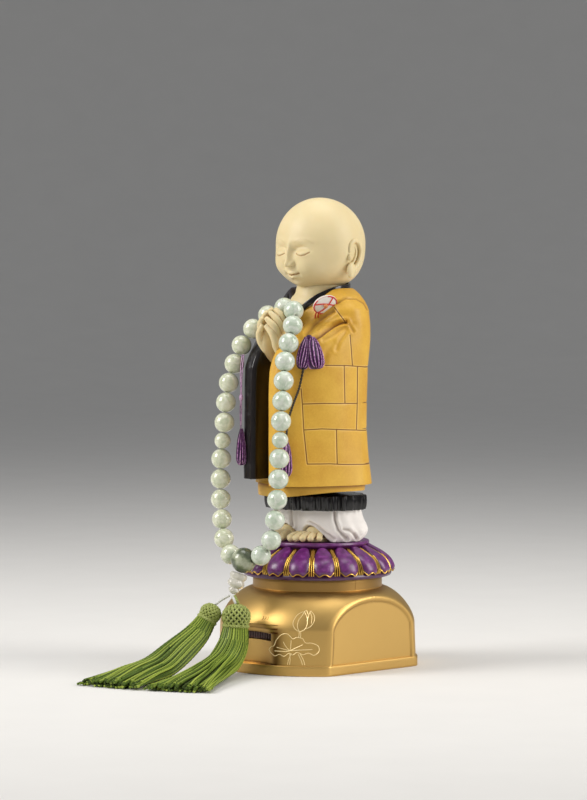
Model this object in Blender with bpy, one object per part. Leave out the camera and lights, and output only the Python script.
"""A cast and painted child monk on a lotus dais and a gold base, with a bead rosary over the hands.

Lengths are in millimetres and become metres when a mesh is made. The origin is the centre of the
base's underside, +Z is up, the monk faces -Y, and the monk's left side is +X.
"""

import math

import bmesh
import bpy
from mathutils import Matrix, Vector

MM = 0.001

# Gaps between pieces that rest on or in each other
SEAT_GAP = 0.3
BEAD_GAP = 0.11

# Gold base: a round dome cut by two flat sides, on a foot band, with a collar on top
BASE_RADIUS = 49.0
BASE_HALF_WIDTH = 38.1
FOOT_HEIGHT = 5.0
FOOT_PROUD = 0.7
SHOULDER_START = 22.0
DOME_HEIGHT = 39.5
DOME_LEAN = 0.8
COLLAR_RADIUS = 32.0
COLLAR_HEIGHT = 5.3
PANEL_BORDER = 2.4
PANEL_DEPTH = 0.5
BASE_SEGMENTS = 40

# Scoop in the front of the base, its slot and the ribbed strip in the slot
SCOOP_RADIUS = 24.0
SCOOP_DEPTH = 6.5
SCOOP_TOP = 20.4
SCOOP_LIP_HEIGHT = 2.0
SCOOP_LIP_STEP = 1.7
SCOOP_LIPS = 2
SLOT_HALF_WIDTH = 13.0
SLOT_BOTTOM = 16.3
SLOT_HEIGHT = 3.6
SLOT_DEPTH = 3.0
STRIP_END_CLEARANCE = 3.0
STRIP_THICKNESS = 1.6
RIB_COUNT = 12
RIB_DEPTH = 0.6

# Lotus dais
PETAL_COUNT = 18
DAIS_HEIGHT = 17.3
DAIS_RIM_RADIUS = 36.8
DAIS_DISC_RADIUS = 25.7
DAIS_DISC_HEIGHT = 1.8
PETAL_TIP_RADIUS = 38.4
STEPS_PER_PETAL = 4

# The monk, drawn below on a grid of 169.3 units from sole to crown
MONK_HEIGHT = 169.3
MONK_GRID_COUNT = 169.3
GARMENT_SEGMENTS = 30

# How far the hems of the hanging sleeves reach forward, in grid units
SLEEVE_FRONT = 39.5

# Rosary
BEAD_DIAMETER = 9.8
SMALL_BEAD_DIAMETER = 8.0
GURU_DIAMETER = 12.4
BEAD_COUNT = 27
LOWER_BEAD_COUNT = 6
LOOP_HALF_WIDTH = 20.5
LOOP_BASE_CLEARANCE = 4.6
LOOP_SLEEVE_CLEARANCE = 14.1
STUPA_HEIGHT = 10.6
STUPA_RADIUS = 4.0
STUPA_REACH = 12.0
CORD_RADIUS = 1.1
CORD_END_GAP = 0.9
NEAR_CAP_RADIUS = 6.9
FAR_CAP_RADIUS = 5.2
CAP_SQUASH = 0.72
SKIRT_SIDES = 10

# Heights of the stack
DAIS_FOOT = DOME_HEIGHT + COLLAR_HEIGHT + SEAT_GAP
DAIS_TOP = DAIS_FOOT + DAIS_HEIGHT
SOLE = DAIS_TOP + SEAT_GAP

# One grid unit of the monk in millimetres
UNIT = MONK_HEIGHT / MONK_GRID_COUNT

GOLD = ("satin_gold", (0.58, 0.36, 0.10), 0.32, 0.9)
DARK = ("dark_strip", (0.05, 0.02, 0.015), 0.5, 0.0)
PURPLE = ("purple_lacquer", (0.16, 0.02, 0.17), 0.35, 0.0)
ROBE = ("robe_paint", (0.70, 0.36, 0.05), 0.5, 0.0)
JADE = ("pale_jade", (0.62, 0.70, 0.58), 0.2, 0.0)
GREY_JADE = ("banded_jade", (0.30, 0.38, 0.30), 0.2, 0.0)
MILK = ("milky_stone", (0.80, 0.80, 0.76), 0.3, 0.0)
GREEN = ("green_thread", (0.20, 0.32, 0.04), 0.7, 0.0)


def material(look):
    """A Principled material of one colour, made once and then shared."""
    name, colour, roughness, metallic = look
    found = bpy.data.materials.get(name)
    if found:
        return found
    made = bpy.data.materials.new(name)
    made.use_nodes = True
    shader = made.node_tree.nodes["Principled BSDF"]
    shader.inputs["Base Color"].default_value = (*colour, 1.0)
    shader.inputs["Roughness"].default_value = roughness
    shader.inputs["Metallic"].default_value = metallic
    return made


def finish(name, bm, look):
    """Turn a bmesh in millimetres into a named object in metres, facing outwards."""
    bmesh.ops.remove_doubles(bm, verts=bm.verts, dist=0.002)
    bmesh.ops.recalc_face_normals(bm, faces=bm.faces)
    bmesh.ops.scale(bm, vec=(MM, MM, MM), verts=bm.verts)
    mesh = bpy.data.meshes.new(name)
    bm.to_mesh(mesh)
    bm.free()
    made = bpy.data.objects.new(name, mesh)
    bpy.context.scene.collection.objects.link(made)
    mesh.materials.append(material(look))
    mesh.shade_smooth()
    mesh.set_sharp_from_angle(angle=math.radians(35))
    return made


def combined(name, body, others, operation, look):
    """Join or cut the body with each other object in turn and keep one plain mesh."""
    for other in others:
        step = body.modifiers.new("combine", "BOOLEAN")
        step.operation = operation
        step.solver = "EXACT"
        step.object = other
        graph = bpy.context.evaluated_depsgraph_get()
        joined = bpy.data.meshes.new_from_object(body.evaluated_get(graph))
        body.modifiers.clear()
        body.data = joined
        bpy.data.objects.remove(other)
    body.name = name
    body.data.name = name
    body.data.materials.clear()
    body.data.materials.append(material(look))
    return body


def loft(rings):
    """A closed skin through rings with the same number of points, capped at both ends."""
    bm = bmesh.new()
    rows = []
    for ring in rings:
        rows.append([bm.verts.new(point) for point in ring])
    for low, high in zip(rows, rows[1:]):
        count = len(low)
        for i in range(count):
            j = (i + 1) % count
            bm.faces.new((low[i], low[j], high[j], high[i]))
    for row in (rows[0], rows[-1]):
        centre = bm.verts.new(sum((v.co for v in row), Vector()) / len(row))
        for i in range(len(row)):
            bm.faces.new((row[i], row[(i + 1) % len(row)], centre))
    return bm


def turned(profile, segments):
    """A solid turned round the Z axis from a profile of radius and height."""
    rings = []
    for radius, height in profile:
        turns = [2 * math.pi * i / segments for i in range(segments)]
        rings.append([Vector((radius * math.cos(a), radius * math.sin(a), height)) for a in turns])
    return loft(rings)


def limb(points, radii, sides, squash=1.0, flat=Vector((1, 0, 0))):
    """A round or oval bar through points, thinned by squash along the flat direction."""
    points = [Vector(point) for point in points]
    rings = []
    for i, (point, radius) in enumerate(zip(points, radii)):
        ahead = points[min(i + 1, len(points) - 1)]
        behind = points[max(i - 1, 0)]
        along = (ahead - behind).normalized()
        across = (flat - along * flat.dot(along)).normalized()
        upward = along.cross(across)
        ring = []
        for k in range(sides):
            turn = 2 * math.pi * k / sides
            ring.append(point + across * radius * squash * math.cos(turn) + upward * radius * math.sin(turn))
        rings.append(ring)
    return loft(rings)


def blob(centre, size, segments, rows, turn=None):
    """An egg-shaped solid with half sizes along X, Y and Z."""
    bm = bmesh.new()
    bmesh.ops.create_uvsphere(bm, u_segments=segments, v_segments=rows, radius=1.0)
    bmesh.ops.scale(bm, vec=size, verts=bm.verts)
    if turn:
        bmesh.ops.transform(bm, matrix=turn, verts=bm.verts)
    bmesh.ops.translate(bm, vec=centre, verts=bm.verts)
    return bm


def smooth_loop(points, steps):
    """Points of a smooth closed curve that passes through the given ones."""
    count = len(points)
    path = []
    for i in range(count):
        a, b, c, d = (points[(i + k) % count] for k in (-1, 0, 1, 2))
        for step in range(steps):
            t = step / steps
            path.append(0.5 * (2 * b + (c - a) * t + (2 * a - 5 * b + 4 * c - d) * t ** 2
                               + (3 * b - a - 3 * c + d) * t ** 3))
    path.append(points[0].copy())
    return path


def dome_radius(height):
    """Outer radius of the dome at a height: a slight lean, then a full shoulder."""
    if height <= SHOULDER_START:
        return BASE_RADIUS - DOME_LEAN * height / SHOULDER_START
    share = min(1.0, (height - SHOULDER_START) / (DOME_HEIGHT - SHOULDER_START))
    reach = BASE_RADIUS - DOME_LEAN - COLLAR_RADIUS
    return COLLAR_RADIUS + reach * (1 - share ** 1.5) ** 0.625


def flat_sides(bm, half_width):
    """Cut both sides of a solid flat at the half width and close the cuts."""
    for side in (-1, 1):
        parts = bm.verts[:] + bm.edges[:] + bm.faces[:]
        cut = bmesh.ops.bisect_plane(bm, geom=parts, plane_co=(side * half_width, 0, 0),
                                     plane_no=(side, 0, 0), clear_outer=True, dist=0.001)
        rim = [part for part in cut["geom_cut"] if isinstance(part, bmesh.types.BMEdge)]
        bmesh.ops.holes_fill(bm, edges=rim, sides=0)
    return bm


def dome_solid():
    """The dome and its collar, round all over."""
    profile = [(dome_radius(0), FOOT_HEIGHT / 2), (dome_radius(SHOULDER_START), SHOULDER_START)]
    shoulder_rows = 6
    for row in range(1, shoulder_rows):
        share = math.sin(math.pi / 2 * row / shoulder_rows)
        height = SHOULDER_START + share * (DOME_HEIGHT - SHOULDER_START)
        profile.append((dome_radius(height), height))
    profile.append((COLLAR_RADIUS, DOME_HEIGHT))
    profile.append((COLLAR_RADIUS, DOME_HEIGHT + COLLAR_HEIGHT))
    return turned(profile, BASE_SEGMENTS)


def foot_band():
    """The foot band, slightly proud of the dome."""
    radius = BASE_RADIUS + FOOT_PROUD
    return turned([(radius, 0), (radius, FOOT_HEIGHT)], BASE_SEGMENTS)


def panel_cutter(side):
    """The shallow arched pocket that leaves a raised border round a side panel."""
    low = FOOT_HEIGHT + PANEL_BORDER / 2
    top = low
    while dome_radius(top + PANEL_BORDER) > BASE_HALF_WIDTH + 0.4:
        top += 0.1
    rows = 9
    right = []
    for row in range(rows + 1):
        height = low + (top - low) * math.sin(math.pi / 2 * row / rows)
        reach = dome_radius(height + PANEL_BORDER * row / rows) ** 2 - BASE_HALF_WIDTH ** 2
        right.append((max(0.5, math.sqrt(max(reach, 0)) - PANEL_BORDER), height))
    outline = right + [(-y, z) for y, z in reversed(right)]
    inner = side * (BASE_HALF_WIDTH - PANEL_DEPTH)
    outer = side * (BASE_HALF_WIDTH + FOOT_PROUD + 1)
    return loft([[Vector((x, y, z)) for y, z in outline] for x in (inner, outer)])


def upright_drum(centre_y, radius, low, high):
    """An upright round cutter in front of the base."""
    bm = turned([(radius, low), (radius, high)], BASE_SEGMENTS)
    bmesh.ops.translate(bm, vec=(0, centre_y, 0), verts=bm.verts)
    return bm


def box(low, high):
    """A plain box between two corners."""
    bm = bmesh.new()
    bmesh.ops.create_cube(bm, size=1.0)
    size = Vector(high) - Vector(low)
    bmesh.ops.scale(bm, vec=size, verts=bm.verts)
    bmesh.ops.translate(bm, vec=Vector(low) + size / 2, verts=bm.verts)
    return bm


def scoop_wall():
    """Y of the deepest line of the scoop."""
    return -(BASE_RADIUS - SCOOP_DEPTH)


def build_base():
    body = finish("gold_base", flat_sides(dome_solid(), BASE_HALF_WIDTH), GOLD)
    foot = finish("foot", flat_sides(foot_band(), BASE_HALF_WIDTH + FOOT_PROUD), GOLD)
    body = combined("gold_base", body, [foot], "UNION", GOLD)
    cutters = [finish("panel", panel_cutter(side), GOLD) for side in (-1, 1)]
    centre = scoop_wall() - SCOOP_RADIUS
    cutters.append(finish("scoop", upright_drum(centre, SCOOP_RADIUS, FOOT_HEIGHT, SCOOP_TOP), GOLD))
    for lip in range(1, SCOOP_LIPS + 1):
        low = SCOOP_TOP + (lip - 1) * SCOOP_LIP_HEIGHT
        drum = upright_drum(centre - lip * SCOOP_LIP_STEP, SCOOP_RADIUS, low - 0.1, low + SCOOP_LIP_HEIGHT)
        cutters.append(finish("lip", drum, GOLD))
    slot = box((-SLOT_HALF_WIDTH, scoop_wall() - SCOOP_DEPTH, SLOT_BOTTOM),
               (SLOT_HALF_WIDTH, scoop_wall() + SLOT_DEPTH, SLOT_BOTTOM + SLOT_HEIGHT))
    cutters.append(finish("slot", slot, GOLD))
    return combined("gold_base", body, cutters, "DIFFERENCE", GOLD)


def build_strip():
    """The ribbed strip, seated against the back wall of the slot."""
    back = scoop_wall() + SLOT_DEPTH - SEAT_GAP
    front = back - STRIP_THICKNESS
    reach = SLOT_HALF_WIDTH - STRIP_END_CLEARANCE
    pitch = 2 * reach / RIB_COUNT
    outline = []
    for rib in range(RIB_COUNT):
        start = rib * pitch - reach
        outline += [(start, front + RIB_DEPTH), (start + pitch * 0.25, front), (start + pitch * 0.75, front)]
    outline += [(reach, front + RIB_DEPTH), (reach, back), (-reach, back)]
    low = SLOT_BOTTOM + SEAT_GAP
    high = SLOT_BOTTOM + SLOT_HEIGHT - SEAT_GAP
    bm = bmesh.new()
    face = bm.faces.new([bm.verts.new((x, y, low)) for x, y in outline])
    pulled = bmesh.ops.extrude_face_region(bm, geom=[face])
    top = [part for part in pulled["geom"] if isinstance(part, bmesh.types.BMVert)]
    bmesh.ops.translate(bm, vec=(0, 0, high - low), verts=top)
    return finish("ribbed_strip", bm, DARK)


def petal_share(step):
    """How far a point round the dais stands out on its petal: 0 in a gap, 1 on the middle."""
    across = (step % STEPS_PER_PETAL) / STEPS_PER_PETAL * 2 - 1
    return (1 - across ** 2) ** 0.4 if abs(across) < 1 else 0.0


def build_dais():
    """Turned-down petals round a plain rim, under a flat disc."""
    body_height = DAIS_HEIGHT - DAIS_DISC_HEIGHT
    tip = PETAL_TIP_RADIUS
    rim = DAIS_RIM_RADIUS
    neck = DAIS_DISC_RADIUS
    rows = [
        (0.00, rim - 3, rim - 3),
        (0.05, rim, rim),
        (0.16, rim - 0.5, rim + 0.1),
        (0.24, rim - 0.9, tip - 0.1),
        (0.42, rim - 2.0, tip - 0.5),
        (0.72, rim - 4.9, tip - 4.2),
        (0.93, rim - 9.4, tip - 9.4),
    ]
    segments = PETAL_COUNT * STEPS_PER_PETAL
    rings = []
    for share, gap_radius, petal_radius in rows:
        ring = []
        for step in range(segments):
            turn = 2 * math.pi * step / segments
            radius = gap_radius + (petal_radius - gap_radius) * petal_share(step)
            ring.append(Vector((radius * math.cos(turn), radius * math.sin(turn),
                                DAIS_FOOT + share * body_height)))
        rings.append(ring)
    for radius, height in ((neck - 0.5, body_height), (neck, body_height + 0.3), (neck, DAIS_HEIGHT)):
        turns = [2 * math.pi * step / segments for step in range(segments)]
        rings.append([Vector((radius * math.cos(a), radius * math.sin(a), DAIS_FOOT + height)) for a in turns])
    return finish("lotus_dais", loft(rings), PURPLE)


def at(x, y, z):
    """A point of the monk as drawn: millimetres from the middle of the soles."""
    return Vector((x * UNIT, y * UNIT, SOLE + z * UNIT))


# Rows of the garments as drawn: height, half width, reach to the front, reach to the back, front drop
TROUSERS = [(0, 24.5, 14, 17, 0), (5.3, 28, 15.5, 20.5, 0), (11, 26, 16.5, 18.5, 0), (15.5, 24.5, 17, 17, 0)]
PLEATED_BAND = [(15.6, 26.6, 22.5, 18.4, 0), (22.2, 27, 23.5, 18.8, 0)]
UNDER_ROBE = [(22.3, 28.8, 29.6, 15.6, 0), (28.3, 29.2, 29.6, 16.5, 0)]
OUTER_ROBE = [
    (28.4, 31.3, 30.4, 21.3, 0),
    (41.3, 30.2, 29, 19.2, 0),
    (57.3, 29, 27, 18.5, 0),
    (72.3, 29, 24.5, 18.5, 0),
    (85.3, 29.5, 21, 18.8, 0),
    (97.3, 30.3, 17, 20.7, 0),
    (108.3, 29.5, 14.5, 21.3, 0),
    (114.3, 28, 13, 21.3, 1),
    (118.3, 25.2, 12, 21.6, 3),
    (121.8, 21, 11.5, 20.4, 6),
    (124.3, 16.8, 11, 18.2, 9),
    (126.3, 13.5, 10.5, 15.8, 11),
]


def garment_ring(height, half_width, front, back, drop, relief):
    """One level ring of cloth, deeper in front or behind, dropped at the front."""
    ring = []
    for i in range(GARMENT_SEGMENTS):
        turn = 2 * math.pi * i / GARMENT_SEGMENTS
        sideways = math.cos(turn)
        forward = -math.sin(turn)
        reach = front if forward > 0 else back
        swell = 1 + relief(i, sideways, forward)
        ring.append(at(half_width * sideways * swell, -reach * forward * swell,
                       height - drop * max(0.0, forward) ** 3))
    return ring


def plain(i, sideways, forward):
    return 0.0


def pleated(i, sideways, forward):
    return 0.015 if i % 2 else -0.015


def parted(i, sideways, forward):
    """The hollow between the two legs, in front."""
    return -0.22 * math.exp(-(sideways / 0.22) ** 2) if forward > 0 else 0.0


def robe_solid():
    rings = []
    for rows, relief in ((TROUSERS, parted), (PLEATED_BAND, pleated), (UNDER_ROBE, plain), (OUTER_ROBE, plain)):
        rings += [garment_ring(*row, relief) for row in rows]
    return finish("robe", loft(rings), ROBE)


def sleeve_solid(side, hem):
    """A sleeve that hangs from the bent forearm, from its hem up to the rounded forearm."""
    # height at the elbow, how far the front edge stands back from the hem's, inset of the outline, fall
    rows = [(hem, 0, 0, 0), (52, 0.2, 0, 0), (75, 0.5, 0, 0), (87, 1.3, 0, 0.5), (93, 3.5, 0.3, 1.5),
            (99.5, 7.5, 0.8, 3), (104, 10, 2.2, 4.5), (106.5, 13, 4.2, 5.5)]
    rings = []
    for height, back, inset, fall in rows:
        front = SLEEVE_FRONT - back
        outline = [
            (27.5 - inset, -2),
            (28.6 - inset, -13 - (front - 39) * 0.2),
            (22.2 - inset, -front * 0.70),
            (12.6 - inset * 0.7, -front + 0.9),
            (8.2, -front - 0.2),
            (4.4 + inset * 0.7, -front + 1.2),
            (5.2 + inset, -front * 0.62),
            (9.0 + inset, -8),
        ]
        rings.append([at(side * x, y, height + fall * y / front) for x, y in outline])
    return finish("sleeve", loft(rings), ROBE)


def head_bumps():
    """Swellings and hollows of a calm child's face: direction, spread across, spread upward, height."""
    bumps = [
        ((0, -1, -0.24), 0.085, 0.16, 2.3),
        ((0, -1, -0.33), 0.14, 0.07, 1.1),
        ((0, -1, -0.52), 0.20, 0.08, 1.0),
        ((0, -1, -0.86), 0.28, 0.18, 1.5),
    ]
    for side in (-1, 1):
        bumps += [
            ((side * 0.62, -0.80, -0.45), 0.42, 0.36, 2.0),
            ((side * 0.36, -1, -0.02), 0.17, 0.09, -1.1),
            ((side * 0.36, -1, -0.06), 0.13, 0.06, 0.6),
        ]
    return bumps


def head_solid():
    """Skull and face: an egg with soft swellings, with rows closer together round the face."""
    centre = at(0, 1.5, 146.3)
    segments, rows = 26, 14
    bumps = [(Vector(d).normalized(), across, upward, height) for d, across, upward, height in head_bumps()]
    rings = []
    for row in range(1, rows):
        share = row / rows
        lift = -math.pi / 2 + math.pi * share - 0.12 * math.sin(2 * math.pi * share)
        ring = []
        for i in range(segments):
            share = i / segments * 2 * math.pi
            turn = share - 0.45 * math.sin(share) - math.pi / 2
            way = Vector((math.cos(turn) * math.cos(lift), math.sin(turn) * math.cos(lift), math.sin(lift)))
            deep = 21.5 if way.y < 0 else 23.5
            tall, fullness = (23.0, 2.0) if way.z > 0 else (22.6, 2.6)
            level = math.hypot(way.x / 22.0, way.y / deep)
            reach = (level ** fullness + abs(way.z / tall) ** fullness) ** (-1 / fullness)
            for toward, across, upward, height in bumps:
                sideways = math.atan2(way.x, -way.y) - math.atan2(toward.x, -toward.y)
                rise = math.asin(way.z) - math.asin(toward.z)
                if abs(sideways) < math.pi / 2:
                    reach += height * math.exp(-(sideways / across) ** 2 - (rise / upward) ** 2)
            ring.append(centre + way * reach * UNIT)
        rings.append(ring)
    return finish("head", loft(rings), ROBE)


def ear_solid(side):
    """A long-lobed ear, flat against the head."""
    lean = Matrix.Rotation(side * math.radians(8), 4, "Z") @ Matrix.Rotation(math.radians(-8), 4, "X")
    size = (2.8 * UNIT, 5.0 * UNIT, 9.6 * UNIT)
    return finish("ear", blob(at(side * 21.6, 2.2, 138.0), size, 8, 6, lean), ROBE)


def neck_solid():
    """The neck and the bare wedge of chest inside the collar."""
    points = [at(0, -1.5, 108), at(0, 0, 118), at(0, 1.5, 124), at(0, 2, 130)]
    return finish("neck", limb(points, [r * UNIT for r in (9.5, 11.5, 11.5, 11.5)], 14), ROBE)


def collar_solid():
    """The dark band that runs round the neck and crosses in a V on the chest."""
    half = [(0, -11.8, 113.0), (5.5, -11.0, 117.5), (10.5, -7.5, 122.0), (13.6, 0, 125.0), (12.6, 8, 126.5),
            (7.5, 14, 127.2), (0, 16.2, 127.4)]
    points = [at(*point) for point in half] + [at(-x, y, z) for x, y, z in reversed(half[1:-1])]
    rings = []
    for i, point in enumerate(points):
        along = (points[(i + 1) % len(points)] - points[i - 1]).normalized()
        outward = Vector((point.x, point.y - 2 * UNIT, 0)).normalized()
        up = outward.cross(along).normalized()
        up = up if up.z > 0 else -up
        rings.append([point + outward * 0.9 * UNIT + up * 1.6 * UNIT, point - outward * 1.6 * UNIT + up * 1.6 * UNIT,
                      point - outward * 1.6 * UNIT - up * 1.6 * UNIT, point + outward * 0.9 * UNIT - up * 1.6 * UNIT])
    bm = bmesh.new()
    rows = [[bm.verts.new(point) for point in ring] for ring in rings]
    for i, row in enumerate(rows):
        after = rows[(i + 1) % len(rows)]
        for k in range(4):
            bm.faces.new((row[k], row[(k + 1) % 4], after[(k + 1) % 4], after[k]))
    return finish("collar", bm, ROBE)


def hand_solid(side):
    """One of the praying hands: a palm with four fingers laid along it."""
    flat = Vector((1, 0, 0))
    palm = limb([at(side * 5.0, -22, 90.5), at(side * 4.4, -26, 93), at(side * 3.4, -29.5, 97.5),
                 at(side * 2.9, -31, 103), at(side * 2.6, -31.8, 107)],
                [r * UNIT for r in (4.6, 5.4, 5.6, 5.2, 4.4)], 10, 0.62, flat)
    fingers = []
    for finger in range(4):
        back = finger * 2.35
        bar = limb([at(side * 4.0, -34.6 + back, 98.5 - finger * 0.5), at(side * 3.6, -35.4 + back, 104),
                    at(side * 2.4, -35.6 + back, 109), at(side * 1.4, -35.6 + back, 113.4 - finger * 0.7)],
                   [r * UNIT for r in (1.5, 1.7, 1.6, 1.1)], 7, 1.0, flat)
        fingers.append(finish("finger", bar, ROBE))
    return combined("hand", finish("palm", palm, ROBE), fingers, "UNION", ROBE)


def foot_solid(side):
    """A bare foot with five toes, flat below."""
    pieces = []
    shapes = [((8.6, -11, 2.0), (6.6, 11, 7.6), 10, 6)]
    for toe in range(5):
        radius = 2.3 - 0.17 * toe
        shapes.append(((3.7 + 2.45 * toe, 0.42 * toe ** 2 - 20.6, 1.7), (radius, radius * 1.5, radius), 6, 4))
    for centre, size, segments, rows in shapes:
        bm = blob((0, 0, 0), [s * UNIT for s in size], segments, rows)
        for vert in bm.verts:
            if vert.co.z < 0:
                vert.co.z *= centre[2] / size[2]
        bmesh.ops.translate(bm, vec=at(side * centre[0], centre[1], centre[2]), verts=bm.verts)
        pieces.append(finish("foot", bm, ROBE))
    return combined("foot", pieces[0], pieces[1:], "UNION", ROBE)


def tassel_solid(top, foot, radius, flat, squash):
    """A small carved tassel that lies on the robe."""
    points = [at(*Vector(top).lerp(Vector(foot), share)) for share in (0, 0.12, 0.5, 1)]
    radii = [r * UNIT for r in (radius * 0.35, radius * 0.75, radius, radius * 0.95)]
    return finish("tassel", limb(points, radii, 8, squash, Vector(flat)), ROBE)


# Carved tassels as drawn: top, foot, radius, the way each is thinned
ARM_TASSELS = [
    ((17.6, -27.2, 101.6), (20.4, -30.8, 86.3), 3.2, (0.7, -0.7, 0)),
    ((22.4, -22.6, 101.6), (24.8, -24.8, 86.3), 3.4, (0.7, -0.7, 0)),
    ((13.6, -36.0, 50.5), (13.6, -36.0, 34.0), 2.5, (0.7, -0.7, 0)),
    ((-12.6, -40.2, 55.8), (-12.6, -40.2, 38.6), 2.8, (-0.6, -0.8, 0)),
]


def clasp_solid():
    """The round clasp on the left of the chest."""
    bm = blob((0, 0, 0), (6.2 * UNIT, 1.6 * UNIT, 4.6 * UNIT), 10, 4)
    turn = Matrix.Rotation(math.radians(48), 4, "Z") @ Matrix.Rotation(math.radians(-22), 4, "Y")
    bmesh.ops.transform(bm, matrix=turn @ Matrix.Rotation(math.radians(24), 4, "X"), verts=bm.verts)
    bmesh.ops.translate(bm, vec=at(16.2, -11.2, 116.6), verts=bm.verts)
    return finish("clasp", bm, ROBE)


def build_monk():
    robe = robe_solid()
    parts = [sleeve_solid(1, 29.5), sleeve_solid(-1, 31.3), neck_solid(), collar_solid(), head_solid()]
    for side in (-1, 1):
        parts.append(ear_solid(side))
        parts.append(hand_solid(side))
        parts.append(foot_solid(side))
    for top, foot, radius, flat in ARM_TASSELS:
        parts.append(tassel_solid(top, foot, radius, flat, 0.85))
    parts.append(clasp_solid())
    return combined("monk_figure", robe, parts, "UNION", ROBE)


# Route of the rosary: share of the half width, share of the drop, share of the way to the front
LOOP_ROUTE = [
    (0.00, 0.000, 0.00), (0.46, 0.012, 0.10), (0.68, 0.070, 0.27), (0.83, 0.190, 0.53), (0.96, 0.287, 0.66),
    (1.08, 0.450, 0.80), (1.05, 0.600, 0.82), (1.06, 0.754, 0.87), (0.95, 0.912, 0.93), (0.66, 0.975, 0.96),
    (0.13, 1.000, 1.00), (-0.39, 0.984, 0.95), (-0.71, 0.925, 0.89), (-0.96, 0.775, 0.80), (-0.98, 0.612, 0.78),
    (-0.87, 0.466, 0.78), (-0.94, 0.307, 0.64), (-0.89, 0.156, 0.39), (-0.71, 0.089, 0.255),
    (-0.42, 0.030, 0.08),
]


def loop_path(drop):
    """The closed route of the bead centres for a drop, starting and ending at the guru bead."""
    top = at(0, -23.0, 115.0)
    front = -max(BASE_RADIUS + LOOP_BASE_CLEARANCE, SLEEVE_FRONT * UNIT + LOOP_SLEEVE_CLEARANCE)
    points = [Vector((side * LOOP_HALF_WIDTH * UNIT, top.y + forward * (front - top.y), top.z - low * drop))
              for side, low, forward in LOOP_ROUTE]
    guru = max(range(len(LOOP_ROUTE)), key=lambda index: LOOP_ROUTE[index][1])
    points = points[guru:] + points[:guru]
    return smooth_loop(points, 24)


def walk(path, reaches):
    """Points along the path, each at the next reach from the last in a straight line."""
    found = [path[0].copy()]
    index = 0
    for reach in reaches:
        while index < len(path) - 1 and (path[index + 1] - found[-1]).length < reach:
            index += 1
        if index == len(path) - 1:
            return found, False
        low, high = 0.0, 1.0
        for _ in range(40):
            middle = (low + high) / 2
            point = path[index].lerp(path[index + 1], middle)
            if (point - found[-1]).length < reach:
                low = middle
            else:
                high = middle
        found.append(path[index].lerp(path[index + 1], high))
    return found, True


def bead_row():
    """Diameters round the loop from the guru bead, and their centres on the loop that they just fill."""
    sizes = [BEAD_DIAMETER] * BEAD_COUNT
    sizes.insert(LOWER_BEAD_COUNT, SMALL_BEAD_DIAMETER)
    sizes.insert(len(sizes) - LOWER_BEAD_COUNT, SMALL_BEAD_DIAMETER)
    sizes = [GURU_DIAMETER] + sizes
    reaches = [(a + b) / 2 + BEAD_GAP for a, b in zip(sizes, sizes[1:])]
    closing = (sizes[-1] + sizes[0]) / 2 + BEAD_GAP
    low, high = 0.0, sum(reaches)
    for _ in range(40):
        drop = (low + high) / 2
        path = loop_path(drop)
        centres, whole = walk(path, reaches)
        if whole and (centres[-1] - path[-1]).length > closing:
            high = drop
        else:
            low = drop
    return sizes, walk(loop_path(high), reaches)[0]


def bead(name, centre, diameter, look):
    bm = bmesh.new()
    bmesh.ops.create_icosphere(bm, subdivisions=2, radius=diameter / 2)
    bmesh.ops.translate(bm, vec=centre, verts=bm.verts)
    return finish(name, bm, look)


def build_beads(sizes, centres):
    large, small = 0, 0
    for size, centre in zip(sizes[1:], centres[1:]):
        if size == SMALL_BEAD_DIAMETER:
            small += 1
            bead("small_bead_{}".format(small), centre, size, JADE)
        else:
            large += 1
            bead("bead_{:02d}".format(large), centre, size, JADE)
    bm = blob((0, 0, 0), [GURU_DIAMETER / 2] * 3, 12, 7)
    bmesh.ops.translate(bm, vec=centres[0], verts=bm.verts)
    finish("guru_bead", bm, GREY_JADE)


def along_axis(bm, top, way):
    """Hang a piece made down from the origin at a top point, along a way."""
    turn = Vector((0, 0, -1)).rotation_difference(way).to_matrix().to_4x4()
    bmesh.ops.transform(bm, matrix=Matrix.Translation(top) @ turn, verts=bm.verts)
    return bm


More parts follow.
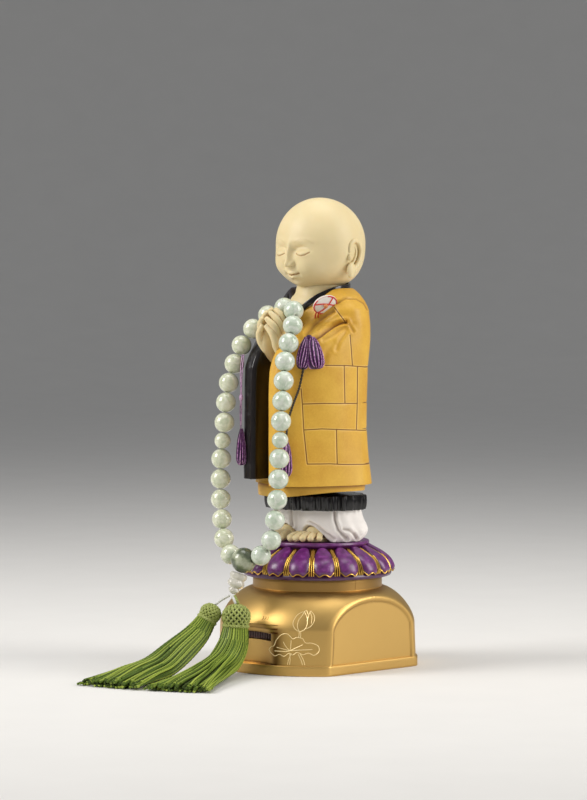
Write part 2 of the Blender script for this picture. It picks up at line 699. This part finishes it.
def build_pendant(guru):
    """The stepped bead below the guru bead, the two cords, and the tassels that lie on the floor."""
    way = Vector((-0.17, -0.28, -0.945)).normalized()
    top = guru + way * (GURU_DIAMETER / 2 + SEAT_GAP)
    steps = [(0, 0.55), (0.06, 1.0), (0.22, 1.0), (0.28, 0.80), (0.42, 0.92), (0.55, 0.88), (0.62, 0.66),
             (0.80, 0.70), (0.88, 0.42), (1.0, 0.38)]
    profile = [(STUPA_RADIUS * width, -STUPA_HEIGHT * share) for share, width in steps]
    finish("stupa_bead", along_axis(turned(profile, 10), top, way), MILK)
    foot = top + way * STUPA_HEIGHT

    hang = foot - Vector((0, 0, STUPA_REACH))
    near = Vector((guru.x + 0.8, min(guru.y - 5.8, -BASE_RADIUS - NEAR_CAP_RADIUS - 3.4), hang.z + 1.7))
    far = near + Vector((-10.9, -6.7, 1.1))
    tassels = [
        ("near", near, Vector((0.02, -0.10, -1)), NEAR_CAP_RADIUS, Vector((1.1, 0, 0)), near_skirt_route),
        ("far", far, Vector((-0.24, -0.46, -0.85)), FAR_CAP_RADIUS, Vector((-1.3, -0.3, 0)), far_skirt_route),
    ]
    for side, centre, lie, radius, offset, route in tassels:
        lie = lie.normalized()
        half = radius * CAP_SQUASH
        cap = turned([(radius * 0.25, half), (radius * 0.72, half * 0.72), (radius * 0.97, half * 0.28),
                      (radius, -half * 0.15), (radius * 0.92, -half * 0.6), (radius * 0.8, -half)], 10)
        finish("tassel_cap_" + side, along_axis(cap, centre, lie), GREEN)
        start = foot + way * CORD_END_GAP + offset
        end = centre - lie * (half + CORD_END_GAP)
        middle = (start + end) / 2 + Vector((offset.x * 0.4, -0.3, 0))
        finish("tassel_cord_" + side, limb([start, middle, end], [CORD_RADIUS] * 3, 6), GREEN)
        root = centre + lie * (half + SEAT_GAP)
        finish("tassel_skirt_" + side, skirt_solid(route(root), lie), GREEN)


def near_skirt_route(root):
    """Centre line of the near tassel's threads, with half width and half height, in shares of its length."""
    # sideways, forward, height above the floor, half width, half height
    return [(root.x, root.y, root.z, 5.8, 5.6), (root.x + 1.0, root.y - 3, root.z * 0.62, 7.4, 6.2),
            (root.x + 2.6, root.y - 10.5, root.z * 0.32, 8.4, 5.8), (root.x + 7, root.y - 23, 4.9, 9.8, 4.5),
            (root.x + 13.5, root.y - 37, 3.5, 11.8, 3.1), (root.x + 20.5, root.y - 50, 2.4, 14.2, 2.0),
            (root.x + 27.5, root.y - 62, 1.5, 16.5, 1.1)]


def far_skirt_route(root):
    """Centre line of the far tassel's threads, which fan out wider."""
    return [(root.x, root.y, root.z, 4.6, 4.4), (root.x - 1.6, root.y - 5.5, root.z * 0.74, 6.6, 5.4),
            (root.x - 3.2, root.y - 16, root.z * 0.46, 8.6, 6.3), (root.x - 3.2, root.y - 29, 6.2, 11.0, 5.4),
            (root.x - 1.8, root.y - 43, 4.4, 13.6, 3.9), (root.x + 0.6, root.y - 56, 2.9, 15.8, 2.4),
            (root.x + 3.2, root.y - 68, 1.6, 17.8, 1.2)]


def skirt_solid(route, lie):
    """The body of a thread skirt: an oval that leaves its cap along its lie, flattens and fans out."""
    rings = []
    places = [Vector(row[:3]) for row in route]
    for i, (row, place) in enumerate(zip(route, places)):
        along = (places[min(i + 1, len(places) - 1)] - places[max(i - 1, 0)]).normalized()
        along = along if i else lie
        across = along.cross(Vector((0, 0, 1)))
        across = Vector((1, 0, 0)) if across.length < 0.35 else across.normalized()
        across = across if across.x > 0 else -across
        across = (across - along * along.dot(across)).normalized()
        upward = along.cross(across).normalized()
        ring = []
        for k in range(SKIRT_SIDES):
            turn = 2 * math.pi * k / SKIRT_SIDES
            point = place + across * row[3] * math.cos(turn) + upward * row[4] * math.sin(turn)
            ring.append(Vector((point.x, point.y, max(point.z, SEAT_GAP))))
        rings.append(ring)
    return loft(rings)


def main():
    for old in list(bpy.data.objects):
        bpy.data.objects.remove(old)
    build_base()
    build_strip()
    build_dais()
    build_monk()
    sizes, centres = bead_row()
    build_beads(sizes, centres)
    build_pendant(centres[0])


main()
